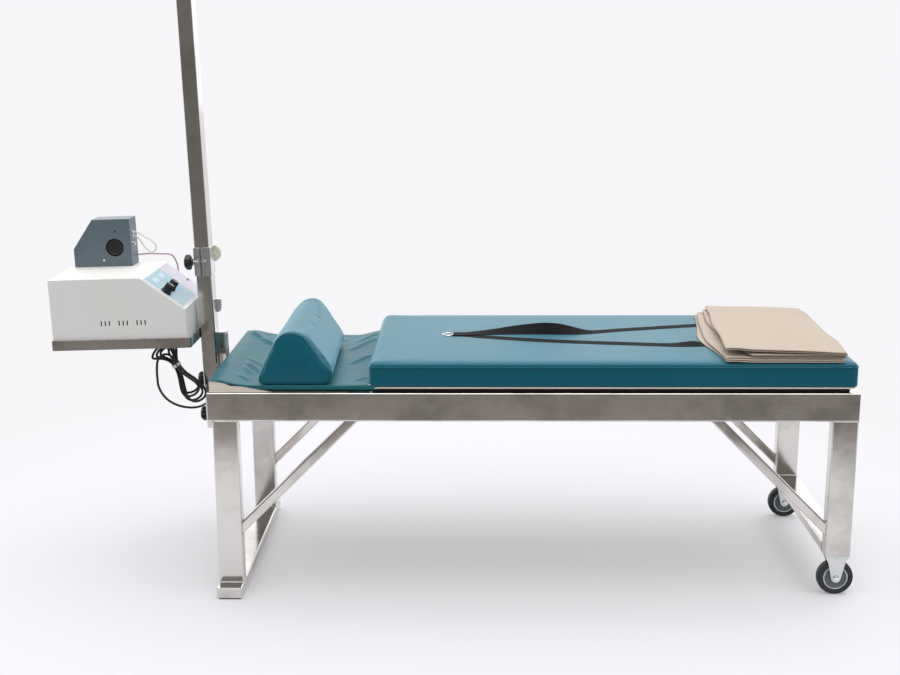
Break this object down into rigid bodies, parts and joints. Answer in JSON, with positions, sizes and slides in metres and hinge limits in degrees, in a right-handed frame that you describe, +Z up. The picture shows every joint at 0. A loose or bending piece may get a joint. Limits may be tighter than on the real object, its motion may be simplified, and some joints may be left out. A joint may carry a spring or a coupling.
{
  "type": "traction decompression table",
  "caption": "Stainless treatment table with a sliding teal mattress, knee bolster, folded harness and a mast-mounted traction unit with rope, pulley and mains cord.",
  "frame": {"origin": "on the floor under the middle of the bounding box, measured without the free mains cord", "axes": "+X along the table towards the foot end, +Y away from the pictured side, +Z up"},
  "size_m": [2.2592, 0.739, 1.7174],
  "materials": {
    "stainless": "brushed stainless tube",
    "rubber": "black rubber",
    "tyre": "dark grey rubber tyre",
    "wheel_plastic": "moulded grey wheel centre",
    "zinc": "zinc-plated steel",
    "plywood": "bare plywood",
    "teal_vinyl": "teal vinyl over foam",
    "sheet_vinyl": "loose teal vinyl",
    "tan_canvas": "tan canvas",
    "webbing": "black webbing",
    "black_plastic": "black moulded plastic",
    "nylon": "cream nylon",
    "white_paint": "white powder coat",
    "grey_paint": "blue-grey paint",
    "panel_film": "printed plastic panel",
    "grey_plastic": "grey moulded plastic",
    "rope": "coated rope",
    "mauve_cable": "mauve cable sheath"
  },
  "bodies": {
    "table": {"side_rail_front": "stainless", "side_rail_rear": "stainless", "end_rail_head": "stainless", "end_rail_foot": "stainless", "leg_head_front": "stainless", "leg_head_rear": "stainless", "leg_foot_front": "stainless", "leg_foot_rear": "stainless", "brace_head_front": "stainless", "brace_head_rear": "stainless", "brace_foot_front": "stainless", "brace_foot_rear": "stainless", "foot_skid": "stainless", "skid_pad": "rubber", "caster_bar": "stainless", "caster_fork_front": "zinc", "caster_fork_rear": "zinc", "caster_axle_front": "zinc", "caster_axle_rear": "zinc", "head_board": "plywood", "deck_sheet": "sheet_vinyl", "mast_stay": "stainless", "mast": "stainless", "rope_guide": "zinc", "tray": "stainless", "control_case": "white_paint", "control_panel": "panel_film", "power_supply": "grey_plastic", "head_case": "grey_paint", "gear_motor": "zinc", "traction_rope": "rope", "signal_cable": "mauve_cable", "signal_plug": "grey_plastic", "cord_gland": "black_plastic", "cord_hank": "black_plastic", "cord_tail": "black_plastic", "mains_plug": "black_plastic"},
    "wheel_front": {"caster_wheel_front": "wheel_plastic", "caster_tyre_front": "tyre"},
    "wheel_rear": {"caster_wheel_rear": "wheel_plastic", "caster_tyre_rear": "tyre"},
    "mattress": {"mattress": "teal_vinyl", "mattress_board": "plywood", "glide_strip_front": "black_plastic", "glide_strip_rear": "black_plastic"},
    "harness": {"harness_pad": "tan_canvas", "harness_straps": "webbing", "harness_ring": "zinc"},
    "bolster": {"bolster": "teal_vinyl"},
    "collar": {"pulley_collar": "stainless"},
    "pulley": {"pulley": "nylon"},
    "collar_knob": {"collar_knob": "black_plastic"},
    "upper_knob": {"upper_knob": "black_plastic"},
    "lower_knob": {"lower_knob": "black_plastic"},
    "drum": {"rope_drum": "zinc", "drum_cap": "black_plastic"},
    "force_dial": {"force_dial": "black_plastic"},
    "time_dial": {"time_dial": "black_plastic"},
    "start_button": {"start_button": "grey_plastic"}
  },
  "joints": [
    {"name": "wheel_front_spin", "type": "hinge", "parent": "table", "child": "wheel_front", "pos_m": [1.07958, -0.3075, 0.05], "axis": [0, 1, 0], "continuous": true},
    {"name": "wheel_rear_spin", "type": "hinge", "parent": "table", "child": "wheel_rear", "pos_m": [1.07958, 0.3075, 0.05], "axis": [0, 1, 0], "continuous": true},
    {"name": "mattress_slide", "type": "slide", "parent": "table", "child": "mattress", "axis": [1, 0, 0], "range_m": [-0.06, 0.06], "deforming": ["deck_sheet"]},
    {"name": "harness_lift", "type": "slide", "parent": "mattress", "child": "harness", "axis": [0, 0, 1], "range_m": [0, 0.25]},
    {"name": "bolster_lift", "type": "slide", "parent": "table", "child": "bolster", "axis": [0, 0, 1], "range_m": [0, 0.3]},
    {"name": "collar_slide", "type": "slide", "parent": "table", "child": "collar", "axis": [-0.0262, 0, 0.9997], "range_m": [-0.05, 0.5]},
    {"name": "pulley_spin", "type": "hinge", "parent": "collar", "child": "pulley", "pos_m": [-0.69922, 0.0418, 0.91205], "axis": [0, 1, 0], "continuous": true},
    {"name": "collar_knob_turn", "type": "hinge", "parent": "collar", "child": "collar_knob", "pos_m": [-0.73896, -0.0423, 0.89801], "axis": [-0.9997, 0, -0.0262], "range_deg": [0, 360]},
    {"name": "upper_knob_turn", "type": "hinge", "parent": "table", "child": "upper_knob", "pos_m": [-0.72719, 0.018, 0.53619], "axis": [-0.9997, 0, -0.0262], "range_deg": [0, 360]},
    {"name": "lower_knob_turn", "type": "hinge", "parent": "table", "child": "lower_knob", "pos_m": [-0.72437, 0.018, 0.42873], "axis": [-0.9997, 0, -0.0262], "range_deg": [0, 360]},
    {"name": "drum_spin", "type": "hinge", "parent": "table", "child": "drum", "pos_m": [-0.9953, 0.0785, 0.92291], "axis": [0, 1, 0], "range_deg": [-720, 720]},
    {"name": "force_dial_turn", "type": "hinge", "parent": "table", "child": "force_dial", "pos_m": [-0.80305, -0.12, 0.8255], "axis": [0.5831, 0, 0.8124], "range_deg": [-150, 150]},
    {"name": "time_dial_turn", "type": "hinge", "parent": "table", "child": "time_dial", "pos_m": [-0.80305, -0.064, 0.8255], "axis": [0.5831, 0, 0.8124], "range_deg": [-150, 150]},
    {"name": "start_button_press", "type": "slide", "parent": "table", "child": "start_button", "axis": [-0.5831, 0, -0.8124], "range_m": [0, 0.0015], "stiffness_N_per_m": 400}
  ]
}
